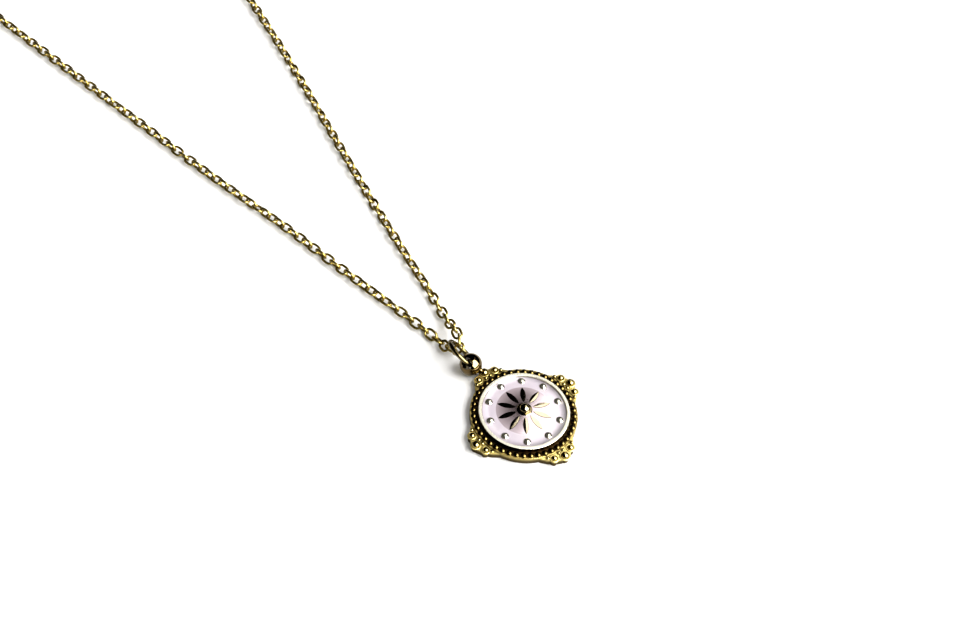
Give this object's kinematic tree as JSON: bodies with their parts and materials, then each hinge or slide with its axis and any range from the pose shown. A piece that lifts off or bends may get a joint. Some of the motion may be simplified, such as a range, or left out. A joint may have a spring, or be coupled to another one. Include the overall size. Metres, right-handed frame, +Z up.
{
  "type": "star medallion necklace",
  "caption": "Fine link chain necklace with a small round gold medallion: beaded rim, corner ornaments, pale enamel star, ball bail, jump ring and round clasp.",
  "frame": {"origin": "centre of the medallion's flat back, on the surface that the necklace lies on", "axes": "+Z up, out of the medallion's face; +Y from the medallion along the loop to the clasp"},
  "size_m": [0.0631, 0.2263, 0.004],
  "materials": {
    "cast_gold": "polished cast relief, darker in the hollows",
    "polished_gold": "polished",
    "pearl_enamel": "glossy pearl",
    "ring_gold": "polished",
    "chain_gold": "polished",
    "clasp_gold": "polished"
  },
  "bodies": {
    "root": {"setting": "cast_gold", "dial": "polished_gold", "enamel": "pearl_enamel", "jump_ring": "ring_gold", "chain": "chain_gold", "clasp": "clasp_gold", "end_ring": "clasp_gold"}
  },
  "joints": []
}
